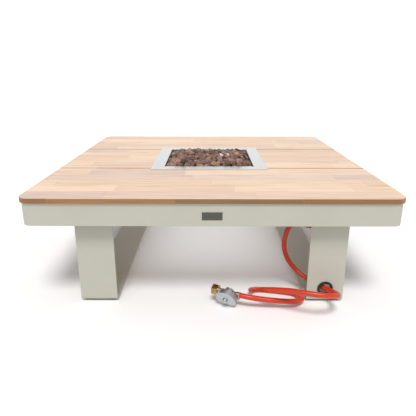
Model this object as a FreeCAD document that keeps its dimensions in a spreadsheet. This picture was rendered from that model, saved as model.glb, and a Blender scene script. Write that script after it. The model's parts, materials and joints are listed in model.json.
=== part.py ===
import FreeCAD, Part
import Sketcher
import math
import os
import re

# A low gas fire table: a wood top of four boards on a painted steel apron, two bent flat-bar legs,
# a drop-in burner tray filled with lava rock, a gas valve behind the right-hand apron, and
# a hose that ends in a small low-pressure regulator lying on the ground.
# Millimetres. Origin on the ground under the middle of the top, X right, Y back, Z up.

V = FreeCAD.Vector
X_AXIS, Y_AXIS, Z_AXIS = V(1, 0, 0), V(0, 1, 0), V(0, 0, 1)
doc = FreeCAD.newDocument("FireTable")

# ---- driving dimensions ----------------------------------------------------------------
SIZES = [
    ("table_width", 1000, "wood top, left to right"),
    ("table_depth", 1000, "wood top, front to back"),
    ("table_height", 320, "ground to the top of the wood"),
    ("top_corner", 32, "plan radius of the top's corners"),
    ("board_thick", 14, "wood thickness"),
    ("board_round", 2.5, "round-over of the top's upper edge"),
    ("board_gap", 2, "open seam between two boards"),
    ("seam_space", 15.5, "burner tray to the edge of the middle boards, front and back"),
    ("cutout_space", 16, "burner tray to the middle boards, left and right, with the tray centred"),
    ("overhang", 4.4, "wood beyond the apron"),
    ("apron_height", 62, "apron sheet, top to bottom"),
    ("sheet", 3, "apron sheet thickness"),
    ("seam_rail_width", 40, "tube under each seam, front to back"),
    ("seam_rail_height", 25, "tube under each seam, height"),
    ("leg_rail_width", 30, "tube that the legs bolt to, front to back"),
    ("leg_rail_height", 40, "tube that the legs bolt to, height"),
    ("tube_wall", 2, "wall of all the rails"),
    ("leg_width", 102, "flat bar of the legs, left to right"),
    ("leg_thick", 6, "flat bar thickness"),
    ("leg_bend", 12, "outside radius of the bends at the ground"),
    ("leg_inset", 131, "table edge to the outer side of a leg"),
    ("leg_recess", 41, "table edge to the outer face of a leg post"),
    ("pad_thick", 4, "rubber pads under the legs"),
    ("pad_length", 60, "pad, front to back"),
    ("pad_inset", 9, "leg edge to pad edge"),
    ("bolt", 8, "leg bolt diameter"),
    ("bolt_gap", 44, "distance between the two bolts of a post"),
    ("bolt_clear", 0.25, "radial clearance of a bolt in its hole"),
    ("screw", 4, "wood screw diameter"),
    ("screw_bite", 9, "depth of a wood screw in the wood"),
    ("screw_inset", 80, "table edge to the outer wood screws of a rail"),
    ("screw_inner", 140, "table centre to the inner wood screws of a rail"),
    ("middle_screw", 100, "wood screws of the middle boards, from the centre line"),
    ("burner_shift", -8, "burner tray centre, left of the table centre"),
    ("flange_lip", 40, "burner flange beyond the tray, all round"),
    ("flange_thick", 2, "burner flange standing on the wood"),
    ("tray", 300, "burner tray, square, outside"),
    ("tray_depth", 100, "burner tray, flange top to the outside of its bottom"),
    ("tray_wall", 1.5, "burner tray wall"),
    ("shield_gap", 4, "air gap between tray and heat shield at the sides"),
    ("shield_drop", 13, "air gap between tray and heat shield below"),
    ("shield_wall", 1.5, "heat shield wall"),
    ("lead_space", 12, "heat shield's right side to the place where the leads turn up"),
    ("grate_depth", 34, "flange top down to the top of the rock grate"),
    ("grate_bar", 6, "square bar of the grate's frame"),
    ("grate_rod", 5, "round rod of the grate"),
    ("grate_pitch", 20, "rod to rod"),
    ("grate_clear", 2, "grate frame to tray wall"),
    ("rock_rise", 17, "top of the lava rock above the flange"),
    ("rock_clear", 1.5, "lava rock to tray wall"),
    ("rock_slope", 12, "slope at the edge of the rock bed"),
    ("burner_pipe", 19, "burner pipe diameter"),
    ("burner_reach", 200, "burner pipe length, each way"),
    ("burner_lift", 30, "tray bottom to the axis of the burner pipe"),
    ("mixer", 26, "air mixer diameter"),
    ("mixer_drop", 48, "air mixer below the tray"),
    ("jet_length", 12, "gas jet hexagon"),
    ("gas_pipe", 8, "gas pipe diameter"),
    ("electrode", 5, "ignition electrode diameter"),
    ("probe", 6, "thermocouple diameter"),
    ("pilot_side", 56, "pilot guard, right of the burner's centre"),
    ("pilot_wide", 34, "pilot guard, left to right"),
    ("pilot_deep", 44, "pilot guard, front to back"),
    ("pilot_sheet", 1, "pilot guard sheet"),
    ("pilot_rise", 10, "pilot guard above the flange"),
    ("pilot_clear", 1, "rock and grate to the pilot guard"),
    ("panel_space", 12, "front leg rail to the dish of the control panel"),
    ("panel_width", 140, "control panel bezel, along Y"),
    ("panel_height", 50, "control panel bezel height"),
    ("knob_around", 1.5, "gas knob to the walls of the dish, above and below"),
    ("panel_lip", 7, "bezel beyond the dish, at its front and back ends"),
    ("panel_depth", 14, "dish floor behind the apron face"),
    ("panel_sheet", 1.5, "control panel sheet"),
    ("panel_clear", 0.3, "dish to the window in the apron"),
    ("knob_side", 29, "gas knob axis, in front of the panel's middle"),
    ("igniter_side", 35, "igniter button axis, behind the panel's middle"),
    ("control_drop", 45, "control axes below the top of the wood"),
    ("knob_size", 30, "gas knob diameter"),
    ("knob_length", 19, "gas knob length"),
    ("knob_travel", 3, "how far the gas knob pushes in"),
    ("stem", 6, "valve stem diameter"),
    ("plug", 12, "valve plug diameter"),
    ("valve_body", 30, "gas valve casting, front to back"),
    ("valve_length", 70, "dish floor to the back of the valve casting"),
    ("valve_neck", 24, "round neck between casting and dish floor"),
    ("valve_screw_head", 1.2, "height of a valve screw's head"),
    ("knob_space", 0.8, "valve screw heads to the knob when it is pushed in"),
    ("magnet_length", 26, "flame-failure magnet behind the valve"),
    ("igniter_length", 44, "igniter body behind the dish floor"),
    ("fit", 0.05, "radial clearance of a running fit"),
    ("igniter", 22, "igniter body diameter"),
    ("button", 16, "igniter button diameter"),
    ("button_travel", 4, "how far the igniter button pushes in"),
    ("button_proud", 9, "igniter button beyond its body"),
    ("hose", 15, "gas hose outside diameter"),
    ("tail_length", 39.6, "valve casting to the end of the hose"),
    ("hose_drop", 66, "hose end at the valve, below the top of the wood"),
    ("clamp_width", 9, "hose clamp band"),
    ("clamp_wall", 1.2, "hose clamp band thickness"),
    ("grommet_height", 43, "ground to the hose grommet's axis"),
    ("grommet", 44, "grommet flange diameter"),
    ("grommet_neck", 36, "hole in the leg for the grommet"),
    ("grommet_bore", 31, "hole through the grommet"),
    ("grommet_lip", 2.5, "grommet flange thickness"),
    ("plate_width", 53, "name plate"),
    ("plate_height", 21, "name plate"),
    ("plate_thick", 1, "name plate"),
    ("plate_drop", 48.5, "name plate centre below the top of the wood"),
    ("rivet", 3, "name plate rivet head diameter"),
    ("regulator_radius", 30, "regulator housing radius"),
    ("regulator_arm", 20, "regulator centre to the end of the hose"),
    ("regulator_rim", 10.5, "hose axis to the underside of the housing's rim"),
    ("inlet_reach", 6, "inlet arm beyond the housing's rim"),
    ("nut_flats", 27, "coupling nut across flats"),
    ("nut_length", 17, "coupling nut length"),
    ("regulator_lean", 115, "degrees, face of the regulator turned from flat past upright"),
]
sheet = doc.addObject("Spreadsheet::Sheet", "sizes")
for row, (alias, value, meaning) in enumerate(SIZES, start=1):
    sheet.set("A%d" % row, alias)
    sheet.set("B%d" % row, str(value))
    sheet.set("C%d" % row, meaning)
    sheet.setAlias("B%d" % row, alias)
doc.recompute()
ALIAS = re.compile(r"\b(" + "|".join(alias for alias, value, meaning in SIZES) + r")\b")

# Lengths worked out from the sheet, written as expressions that the document evaluates.
WOOD_UNDER = "(table_height - board_thick)"
APRON_WIDTH = "(table_width - 2 * overhang)"
APRON_DEPTH = "(table_depth - 2 * overhang)"
APRON_LOW = "(table_height - board_thick - apron_height)"
INNER_WIDTH = "(table_width - 2 * overhang - 2 * sheet)"
POST_FACE = "(table_depth / 2 - leg_recess)"
LEG_RAIL_FACE = "(table_depth / 2 - leg_recess - leg_thick)"
MIDDLE_BOARD = "(tray + 2 * seam_space)"
CUTOUT = "(tray + 2 * cutout_space)"
FLANGE = "(tray + 2 * flange_lip)"
LEG_X = "(table_width / 2 - leg_inset - leg_width / 2)"
SEAM_RAIL_FACE = "(tray / 2 + shield_gap + shield_wall + 2.5)"
FLANGE_TOP = "(table_height + flange_thick)"
TRAY_LOW = "(table_height + flange_thick - tray_depth)"
SHIELD_SIDE = "(burner_shift + tray / 2 + shield_gap + shield_wall)"
SHIELD_LOW = "(table_height + flange_thick - tray_depth - shield_drop - shield_wall)"
GRATE_TOP = "(table_height + flange_thick - grate_depth)"
PIPE_AXIS = "(table_height + flange_thick - tray_depth + tray_wall + burner_lift)"
CONTROL_Z = "(table_height - control_drop)"
APRON_RIGHT = "(table_width / 2 - overhang)"
DISH_FLOOR = "(table_width / 2 - overhang - panel_depth)"
DISH_HEIGHT = "(knob_size + 2 * knob_around + 2 * panel_sheet)"
PANEL_Y = "(leg_rail_width + panel_space + panel_width / 2 - panel_lip - %s)" % LEG_RAIL_FACE
KNOB_Y = "(%s - knob_side)" % PANEL_Y
BUTTON_Y = "(%s + igniter_side)" % PANEL_Y


# ---- small tools for the document -------------------------------------------------------
def bind(thing, prop, text):
    """Tie a property to the sheet; the words of the text are the sheet's names."""
    thing.setExpression(prop, ALIAS.sub(lambda word: "sizes." + word.group(0), str(text)))


def size(text):
    """The present value of an expression over the sheet's names."""
    words = ALIAS.sub(lambda word: "sizes." + word.group(0), str(text))
    return float(sheet.evalExpression(words))


def place(thing, at, turn=None):
    if turn is not None:
        thing.Placement = FreeCAD.Placement(V(), turn)
    for axis, text in zip("xyz", at):
        bind(thing, "Placement.Base." + axis, text)


def box(name, dims, low):
    """A block from its three sizes and its lowest corner."""
    block = doc.addObject("Part::Box", name)
    for prop, text in zip(("Length", "Width", "Height"), dims):
        bind(block, prop, text)
    place(block, low)
    return block


def rod(name, radius, length, start, along=Z_AXIS):
    """A cylinder that starts at a point and runs along a direction."""
    cylinder = doc.addObject("Part::Cylinder", name)
    bind(cylinder, "Radius", radius)
    bind(cylinder, "Height", length)
    place(cylinder, start, FreeCAD.Rotation(Z_AXIS, along))
    return cylinder


def cone(name, radius_1, radius_2, length, start, along=Z_AXIS):
    taper = doc.addObject("Part::Cone", name)
    bind(taper, "Radius1", radius_1)
    bind(taper, "Radius2", radius_2)
    bind(taper, "Height", length)
    place(taper, start, FreeCAD.Rotation(Z_AXIS, along))
    return taper


def fuse(name, things):
    joined = doc.addObject("Part::MultiFuse", name)
    joined.Shapes = list(things)
    joined.Refine = True
    return joined


def cut(name, base, tools):
    """The base less one tool or several."""
    tools = list(tools)
    carved = doc.addObject("Part::Cut", name)
    carved.Base = base
    carved.Tool = tools[0] if len(tools) == 1 else fuse(name + "_tools", tools)
    return carved


def common(name, base, tool):
    shared = doc.addObject("Part::Common", name)
    shared.Base = base
    shared.Tool = tool
    return shared


def group(name, things):
    """Several separate solids of one kind, kept as one node."""
    bunch = doc.addObject("Part::Compound", name)
    bunch.Links = list(things)
    return bunch


NODES = []


def node(thing, label):
    """Register a finished sub-part under the name of its file."""
    thing.Label = label
    NODES.append(thing)
    return thing


def ring_of_lines(sketch, width, depth, radius):
    """A rounded rectangle about the sketch's origin, fully tied to the sheet."""
    w, d, r = size(width) / 2, size(depth) / 2, size(radius)
    k = r * math.sqrt(0.5)
    corners = []
    for sx, sy in ((1, -1), (1, 1), (-1, 1), (-1, -1)):
        middle = V(sx * (w - r), sy * (d - r), 0)
        side, end = V(sx * w, sy * (d - r), 0), V(sx * (w - r), sy * d, 0)
        first, last = (end, side) if sx * sy < 0 else (side, end)
        corners.append((first, middle + V(sx * k, sy * k, 0), last))
    lines = []
    for i, (first, bulge, last) in enumerate(corners):
        lines.append(sketch.addGeometry(Part.LineSegment(corners[i - 1][2], first), False))
        lines.append(sketch.addGeometry(Part.Arc(first, bulge, last), False))
    return lines


def rounded_pad(name, width, depth, height, radius, at, turn=None):
    """A PartDesign block with rounded corners, centred on `at`, rising from it."""
    body = doc.addObject("PartDesign::Body", name)
    plane = [f for f in body.Origin.OriginFeatures if f.Role == "XY_Plane"][0]
    sketch = body.newObject("Sketcher::SketchObject", name + "_outline")
    sketch.AttachmentSupport = (plane, [""])
    sketch.MapMode = "FlatFace"
    ring_of_lines(sketch, width, depth, radius)
    # lines 0, 2, 4, 6 are the bottom, right, top and left sides; 1, 3, 5, 7 the corners
    for i in range(8):
        sketch.addConstraint(Sketcher.Constraint("Tangent", i, 2, (i + 1) % 8, 1))
    for i in (0, 4):
        sketch.addConstraint(Sketcher.Constraint("Horizontal", i))
    for i in (2, 6):
        sketch.addConstraint(Sketcher.Constraint("Vertical", i))
    for i in (3, 5, 7):
        sketch.addConstraint(Sketcher.Constraint("Equal", 1, i))
    for alias, kind, values, text in (
        ("radius_size", "Radius", (1,), radius),
        ("right_side", "DistanceX", (-1, 1, 2, 1), "(%s) / 2" % width),
        ("left_side", "DistanceX", (6, 1, -1, 1), "(%s) / 2" % width),
        ("top_side", "DistanceY", (-1, 1, 4, 1), "(%s) / 2" % depth),
        ("low_side", "DistanceY", (0, 1, -1, 1), "(%s) / 2" % depth),
    ):
        index = sketch.addConstraint(Sketcher.Constraint(kind, *values, size(text)))
        sketch.renameConstraint(index, alias)
        bind(sketch, "Constraints." + alias, text)
    pad = body.newObject("PartDesign::Pad", name + "_pad")
    pad.Profile = sketch
    bind(pad, "Length", height)
    place(body, at, turn)
    doc.recompute()
    return body


def hexagon(name, flats, length, start, along=Z_AXIS):
    """A hexagonal bar from its width across flats."""
    prism = doc.addObject("Part::Prism", name)
    prism.Polygon = 6
    bind(prism, "Circumradius", "(%s) / 1.7320508" % flats)
    bind(prism, "Height", length)
    place(prism, start, FreeCAD.Rotation(Z_AXIS, along))
    return prism


def edge_feature(body, kind, name, amount_name, amount, height):
    """Round or chamfer every edge of the body's pad that lies at one height."""
    pad = body.Tip
    names = []
    for number, edge in enumerate(pad.Shape.Edges, start=1):
        if all(abs(corner.Z - height) < 1e-6 for corner in edge.Vertexes):
            names.append("Edge%d" % number)
    feature = body.newObject(kind, name)
    feature.Base = (pad, names)
    bind(feature, amount_name, amount)
    doc.recompute()
    return feature


def tube(name, points, radius, bend_limit=None):
    """A round tube along straight runs joined by tangent arcs, as large as the runs allow."""
    points = [V(*point) for point in points]
    edges, start, radii = [], points[0], []
    for before, corner, after in zip(points, points[1:], points[2:]):
        back, ahead = before - corner, after - corner
        half_turn = (math.pi - back.getAngle(ahead)) / 2
        reach = 0.45 * min(back.Length, ahead.Length)
        bend = reach / math.tan(half_turn)
        if bend_limit is not None and bend > bend_limit:
            bend = bend_limit
            reach = bend * math.tan(half_turn)
        enter = corner + V(back).normalize() * reach
        leave = corner + V(ahead).normalize() * reach
        inward = (V(back).normalize() + V(ahead).normalize()).normalize()
        middle = corner + inward * (bend / math.cos(half_turn) - bend)
        edges.append(Part.LineSegment(start, enter).toShape())
        edges.append(Part.Arc(enter, middle, leave).toShape())
        start = leave
        radii.append(bend)
    edges.append(Part.LineSegment(start, points[-1]).toShape())
    path = Part.Wire(edges)
    circle = Part.Circle(points[0], points[1] - points[0], radius)
    skin = path.makePipeShell([Part.Wire([circle.toShape()])], True, False)
    shape = skin if skin.ShapeType == "Solid" else Part.Solid(skin)
    piece = doc.addObject("Part::Feature", name)
    piece.Shape = shape
    print("%s: length %.0f, volume %.4f of section times length, radii %s" % (
        name, path.Length, shape.Volume / (math.pi * radius ** 2 * path.Length),
        " ".join("%.0f" % bend for bend in radii)))
    return piece


# ---- rails and the wood screws that hold the boards from below --------------------------
def rail(name, dims, low, hollow_along):
    """A square steel tube; it is hollow along one axis."""
    inner_dims = [d if i == hollow_along else "(%s) - 2 * tube_wall" % d
                  for i, d in enumerate(dims)]
    inner_low = [p if i == hollow_along else "(%s) + tube_wall" % p for i, p in enumerate(low)]
    return cut(name + "_tube", box(name + "_outer", dims, low),
               [box(name + "_inner", inner_dims, inner_low)])


SEAM_RAIL_LOW = "(table_height - board_thick - seam_rail_height)"
LEG_RAIL_LOW = "(table_height - board_thick - leg_rail_height)"
screw_heads, board_screws = [], {"front": [], "back": [], "left": [], "right": []}


def wood_screw(name, x, y, low, board):
    """One screw from the underside of a rail into a board; returns its hole in the rail."""
    shank = rod(name + "_shank", "screw / 2", "%s + screw_bite - %s" % (WOOD_UNDER, low),
                (x, y, low))
    head = cone(name + "_head", "screw", "screw", "screw / 2", (x, y, "%s - screw / 2" % low))
    bind(head, "Radius1", "screw * 0.7")
    screw_heads.append(fuse(name, [shank, head]))
    board_screws[board].append(shank)
    return rod(name + "_hole", "screw / 2 + 0.25", "seam_rail_height + leg_rail_height",
               (x, y, "%s - 1" % low))


SPOTS = ("screw_inset - table_width / 2", "-screw_inner", "screw_inner",
         "table_width / 2 - screw_inset")
rails = {}
for side, sign in (("front", "-"), ("back", "")):
    # the tube under the seam, and the tube that both legs bolt to
    seam_y = "-%s - seam_rail_width" % SEAM_RAIL_FACE if sign else SEAM_RAIL_FACE
    seam_rail = rail("seam_rail_" + side, (INNER_WIDTH, "seam_rail_width", "seam_rail_height"),
                     ("-%s / 2" % INNER_WIDTH, seam_y, SEAM_RAIL_LOW), 0)
    holes = [wood_screw("seam_screw_%s_%d" % (side, i), x,
                        "%s(%s + seam_rail_width - 3 * screw)" % (sign, SEAM_RAIL_FACE),
                        SEAM_RAIL_LOW, side) for i, x in enumerate(SPOTS)]
    node(cut("seam_rail_" + side, seam_rail, holes), "seam_rail_" + side)
    leg_y = "-%s" % LEG_RAIL_FACE if sign else "%s - leg_rail_width" % LEG_RAIL_FACE
    leg_rail = rail("leg_rail_" + side, (INNER_WIDTH, "leg_rail_width", "leg_rail_height"),
                    ("-%s / 2" % INNER_WIDTH, leg_y, LEG_RAIL_LOW), 0)
    holes = [wood_screw("leg_screw_%s_%d" % (side, i), x,
                        "%s(%s - leg_rail_width / 2)" % (sign, LEG_RAIL_FACE),
                        LEG_RAIL_LOW, side) for i, x in enumerate(SPOTS)]
    rails[side] = (leg_rail, holes)

for side, sign in (("left", "-"), ("right", "")):
    inner_x = CUTOUT + " / 2 + 2"
    outer_x = "%s / 2 - leg_rail_width" % INNER_WIDTH
    for kind, low_x in (("burner_rail_", inner_x), ("end_rail_", outer_x)):
        low = "-(%s) - leg_rail_width" % low_x if sign else low_x
        name = kind + side
        tube_rail = rail(name, ("leg_rail_width", "2 * " + SEAM_RAIL_FACE, "seam_rail_height"),
                         (low, "-" + SEAM_RAIL_FACE, SEAM_RAIL_LOW), 1)
        holes = [wood_screw("%s_screw_%d" % (name, i), "%s + leg_rail_width / 2" % low,
                            y, SEAM_RAIL_LOW, side)
                 for i, y in enumerate(("-middle_screw", "middle_screw"))]
        node(cut(name, tube_rail, holes), name)

# ---- the wood top: one rounded slab, sawn into a front, a back and two middle boards ----
slab = rounded_pad("slab", "table_width", "table_depth", "board_thick", "top_corner",
                   ("0", "0", WOOD_UNDER))
edge_feature(slab, "PartDesign::Fillet", "slab_round", "Radius", "board_round",
             size("board_thick"))
OUTER_DEPTH = "(table_depth / 2 - %s / 2 - board_gap)" % MIDDLE_BOARD
SIDE_WIDTH = "(table_width / 2 - %s / 2)" % CUTOUT
BOARDS = (
    ("front_board", "front", ("table_width", OUTER_DEPTH), ("-table_width / 2", "-table_depth / 2")),
    ("back_board", "back", ("table_width", OUTER_DEPTH),
     ("-table_width / 2", MIDDLE_BOARD + " / 2 + board_gap")),
    ("middle_board_left", "left", (SIDE_WIDTH, MIDDLE_BOARD),
     ("-table_width / 2", "-%s / 2" % MIDDLE_BOARD)),
    ("middle_board_right", "right", (SIDE_WIDTH, MIDDLE_BOARD),
     (CUTOUT + " / 2", "-%s / 2" % MIDDLE_BOARD)),
)
for name, key, dims, low in BOARDS:
    region = box(name + "_region", dims + ("board_thick",), low + (WOOD_UNDER,))
    node(cut(name, common(name + "_blank", slab, region), board_screws[key]), name)
node(group("board_screws", screw_heads), "board_screws")

# ---- the apron: a bent sheet ring with a window for the control panel -------------------
apron_outer = rounded_pad("apron_outer", APRON_WIDTH, APRON_DEPTH, "apron_height",
                          "top_corner - overhang", ("0", "0", APRON_LOW))
apron_inner = rounded_pad("apron_inner", INNER_WIDTH, APRON_DEPTH + " - 2 * sheet",
                          "apron_height + 2", "top_corner - overhang - sheet",
                          ("0", "0", APRON_LOW + " - 1"))
WINDOW = ("panel_width - 2 * panel_lip + 2 * panel_clear",
          DISH_HEIGHT + " + 2 * panel_clear")
window = box("panel_window", ("3 * sheet",) + WINDOW,
             (APRON_RIGHT + " - 2 * sheet", "%s - (%s) / 2" % (PANEL_Y, WINDOW[0]),
              "%s - (%s) / 2" % (CONTROL_Z, WINDOW[1])))
RIVET_X = "(plate_width / 2 - rivet * 1.3)"
PLATE_Z = "(table_height - plate_drop)"
FRONT_FACE = "(%s / 2)" % APRON_DEPTH
rivet_holes = [rod("rivet_hole_%d" % i, "rivet / 4", "3 * sheet",
                   (x, "-%s - sheet" % FRONT_FACE, PLATE_Z), Y_AXIS)
               for i, x in enumerate(("-" + RIVET_X, RIVET_X))]
node(cut("apron_frame", apron_outer, [apron_inner, window] + rivet_holes), "apron_frame")

# ---- name plate, blank, on two rivets ---------------------------------------------------
plate = box("plate_blank", ("plate_width", "plate_thick", "plate_height"),
            ("-plate_width / 2", "-%s - plate_thick" % FRONT_FACE, PLATE_Z + " - plate_height / 2"))
plate_holes, rivets = [], []
for i, x in enumerate(("-" + RIVET_X, RIVET_X)):
    plate_holes.append(rod("plate_hole_%d" % i, "rivet / 4", "3 * plate_thick",
                           (x, "-%s - 2 * plate_thick" % FRONT_FACE, PLATE_Z), Y_AXIS))
    shank = rod("rivet_shank_%d" % i, "rivet / 4", "plate_thick + sheet",
                (x, "-%s - plate_thick" % FRONT_FACE, PLATE_Z), Y_AXIS)
    head = cone("rivet_head_%d" % i, "rivet / 4", "rivet / 2", "rivet / 4",
                (x, "-%s - plate_thick - rivet / 4" % FRONT_FACE, PLATE_Z), Y_AXIS)
    rivets.append(fuse("rivet_%d" % i, [shank, head]))
node(cut("name_plate", plate, plate_holes), "name_plate")
node(group("name_plate_rivets", rivets), "name_plate_rivets")

# ---- legs: flat bar bent into a U, bolted inside the apron ------------------------------
POST_TOP = "(%s - 2)" % WOOD_UNDER
POST_RISE = "(%s - pad_thick)" % POST_TOP
BOLT_Z = "(%s - leg_rail_height / 2)" % WOOD_UNDER
X_ALONG = FreeCAD.Rotation(V(1, 1, 1), 120)
leg_bolts, leg_pads = [], []
for side, sign in (("left", "-"), ("right", "")):
    centre = sign + LEG_X
    low_x = centre + " - leg_width / 2"
    outer = rounded_pad("leg_outer_" + side, "2 * " + POST_FACE, "2 * " + POST_RISE,
                        "leg_width", "leg_bend", (low_x, "0", POST_TOP), X_ALONG)
    inner = rounded_pad("leg_inner_" + side, "2 * %s - 2 * leg_thick" % POST_FACE,
                        "2 * %s - 2 * leg_thick" % POST_RISE, "leg_width + 2",
                        "leg_bend - leg_thick", (low_x + " - 1", "0", POST_TOP), X_ALONG)
    above = box("leg_above_" + side, ("leg_width + 2", "3 * " + POST_FACE, "2 * " + POST_RISE),
                (low_x + " - 1", "-1.5 * " + POST_FACE, POST_TOP))
    tools = [inner, above]
    for end, face, along in (("front", "-" + POST_FACE, Y_AXIS), ("back", POST_FACE, -Y_AXIS)):
        step = "" if end == "front" else "-"
        for i, shift in enumerate(("- bolt_gap / 2", "+ bolt_gap / 2")):
            x = "%s %s" % (centre, shift)
            name = "leg_bolt_%s_%s_%d" % (side, end, i)
            grip = "leg_thick + leg_rail_width"
            hole = rod(name + "_hole", "bolt / 2 + bolt_clear", grip + " + 20",
                       (x, "%s - %s10" % (face, step), BOLT_Z), along)
            tools.append(hole)
            rails[end][1].append(hole)
            shank = rod(name + "_shank", "bolt / 2", grip + " + bolt", (x, face, BOLT_Z), along)
            head = hexagon(name + "_head", "bolt * 1.6", "bolt * 0.6",
                           (x, "%s - %s(bolt * 0.6)" % (face, step), BOLT_Z), along)
            nut = hexagon(name + "_nut", "bolt * 1.6", "bolt * 0.7",
                          (x, "%s + %s(%s)" % (face, step, grip), BOLT_Z), along)
            leg_bolts.append(fuse(name, [shank, head, nut]))
        pad_low = "-%s + leg_bend" % POST_FACE
        if end == "back":
            pad_low = "%s - leg_bend - pad_length" % POST_FACE
        leg_pads.append(box("leg_pad_%s_%s" % (side, end),
                            ("leg_width - 2 * pad_inset", "pad_length", "pad_thick"),
                            (low_x + " + pad_inset", pad_low, "0")))
    if side == "right":
        tools.append(rod("grommet_hole", "grommet_neck / 2", "3 * leg_thick",
                         (centre, "-%s - leg_thick" % POST_FACE, "grommet_height"), Y_AXIS))
    node(cut("leg_" + side, outer, tools), "leg_" + side)
for side in ("front", "back"):
    node(cut("leg_rail_" + side, rails[side][0], rails[side][1]), "leg_rail_" + side)
node(group("leg_bolts", leg_bolts), "leg_bolts")
node(group("leg_pads", leg_pads), "leg_pads")

grommet_parts = []
for name, diameter, length, start in (
        ("grommet_front", "grommet", "grommet_lip", "-%s - grommet_lip" % POST_FACE),
        ("grommet_middle", "grommet_neck", "leg_thick", "-" + POST_FACE),
        ("grommet_back", "grommet", "grommet_lip", "-%s + leg_thick" % POST_FACE)):
    grommet_parts.append(rod(name, diameter + " / 2", length,
                             (LEG_X, start, "grommet_height"), Y_AXIS))
grommet_bore = rod("grommet_bore_tool", "grommet_bore / 2", "leg_thick + 4 * grommet_lip",
                   (LEG_X, "-%s - 2 * grommet_lip" % POST_FACE, "grommet_height"), Y_AXIS)
node(cut("hose_grommet", fuse("grommet_rubber", grommet_parts), [grommet_bore]), "hose_grommet")

# ---- burner tray, dropped into the top and resting on its flange ------------------------
BX = "burner_shift"
MIXER_R, MIXER_TOP = "(mixer / 2)", "(%s + tray_wall)" % TRAY_LOW
MIXER_LOW = "(%s - mixer_drop)" % TRAY_LOW


def square(name, side, height, z):
    """A square block about the burner's centre line."""
    return box(name, (side, side, height), ("%s - (%s) / 2" % (BX, side), "-(%s) / 2" % side, z))


flange_plate = rounded_pad("flange_plate", FLANGE, FLANGE, "flange_thick", "2 * flange_thick",
                           (BX, "0", "table_height"))
tray_box = square("tray_box", "tray", "tray_depth - flange_thick", TRAY_LOW)
tray_space = square("tray_space", "tray - 2 * tray_wall", "tray_depth", TRAY_LOW + " + tray_wall")
PILOT_X = "(burner_shift + pilot_side)"
PROBES = (("ignition_electrode", "electrode / 2", "(%s - pilot_wide / 5)" % PILOT_X),
          ("thermocouple", "probe / 2", "(%s + pilot_wide / 5)" % PILOT_X))
floor_holes = [rod("mixer_hole", MIXER_R, "tray_depth", (BX, "0", SHIELD_LOW + " - 5"))]
for name, radius, x in PROBES:
    floor_holes.append(rod(name + "_hole", radius, "tray_depth / 2", (x, "0", SHIELD_LOW + " - 5")))
node(cut("burner_tray", fuse("tray_blank", [flange_plate, tray_box]), [tray_space] + floor_holes),
     "burner_tray")

shield_outer = square("shield_outer", "tray + 2 * shield_gap + 2 * shield_wall",
                      "%s - %s" % (WOOD_UNDER, SHIELD_LOW), SHIELD_LOW)
shield_space = square("shield_space", "tray + 2 * shield_gap", "tray_depth + shield_drop",
                      SHIELD_LOW + " + shield_wall")
node(cut("heat_shield", shield_outer, [shield_space] + floor_holes), "heat_shield")
spacers = [rod("spacer_%d" % i, "shield_drop / 2.6", "shield_drop",
               ("%s %s tray / 3" % (BX, sx), "%s tray / 3" % sy, SHIELD_LOW + " + shield_wall"))
           for i, (sx, sy) in enumerate((("+", ""), ("+", "-"), ("-", ""), ("-", "-")))]
node(group("shield_spacers", spacers), "shield_spacers")

# ---- burner: an H of pipe with gas ports on top, standing on saddles --------------------
PIPE_R = "(burner_pipe / 2)"
half = "burner_reach / 2"
arms, bores, ports, saddles = [], [], [], []
runs = [("burner_main", (BX + " - " + half, "0", PIPE_AXIS), X_AXIS)]
for side, sign in (("left", "-"), ("right", "+")):
    cross_x = "%s %s (%s - %s)" % (BX, sign, half, PIPE_R)
    runs.append(("burner_" + side, (cross_x, "-" + half, PIPE_AXIS), Y_AXIS))
    for end, y in (("front", "-0.35 * burner_reach"), ("back", "0.35 * burner_reach")):
        block = box("saddle_%s_%s" % (side, end), ("burner_pipe", "burner_pipe / 2", "burner_lift"),
                    (cross_x + " - " + PIPE_R, y + " - burner_pipe / 4", MIXER_TOP))
        saddles.append((block, runs[-1]))
port_count = int(size("burner_reach / grate_pitch"))
for name, start, along in runs:
    arms.append(rod(name, PIPE_R, "burner_reach", start, along))
    inside = [p + " + 1.5" if (along.x and i == 0) or (along.y and i == 1) else p
              for i, p in enumerate(start)]
    bores.append(rod(name + "_bore", PIPE_R + " - 1", "burner_reach - 3", inside, along))
    for k in range(1, port_count):
        spot = list(start)
        spot[0 if along.x else 1] += " + %d * grate_pitch" % k
        if not (along.x and k in (1, port_count - 1)):
            ports.append(rod("%s_port_%d" % (name, k), "1.2", "burner_pipe", spot))
stub = rod("burner_stub", MIXER_R, "burner_lift", (BX, "0", MIXER_TOP))
stub_bore = rod("burner_stub_bore", MIXER_R + " - 6", "burner_lift + 1", (BX, "0", MIXER_TOP + " - 1"))
node(cut("burner_pipe", fuse("burner_blank", arms + [stub]), bores + [stub_bore] + ports),
     "burner_pipe")
cradles = [cut(block.Name + "_cradle", block,
               [rod(block.Name + "_tool", PIPE_R, "burner_reach", start, along)])
           for block, (name, start, along) in saddles]
node(group("burner_saddles", cradles), "burner_saddles")

# ---- pilot: a folded guard over an ignition electrode and a thermocouple ---------------
GUARD_TOP = "(%s + pilot_rise)" % FLANGE_TOP


def pilot_block(name, grow, z, height):
    return box(name, ("pilot_wide + 2 * (%s)" % grow, "pilot_deep + 2 * (%s)" % grow, height),
               ("%s - pilot_wide / 2 - (%s)" % (PILOT_X, grow), "-pilot_deep / 2 - (%s)" % grow, z))


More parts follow.
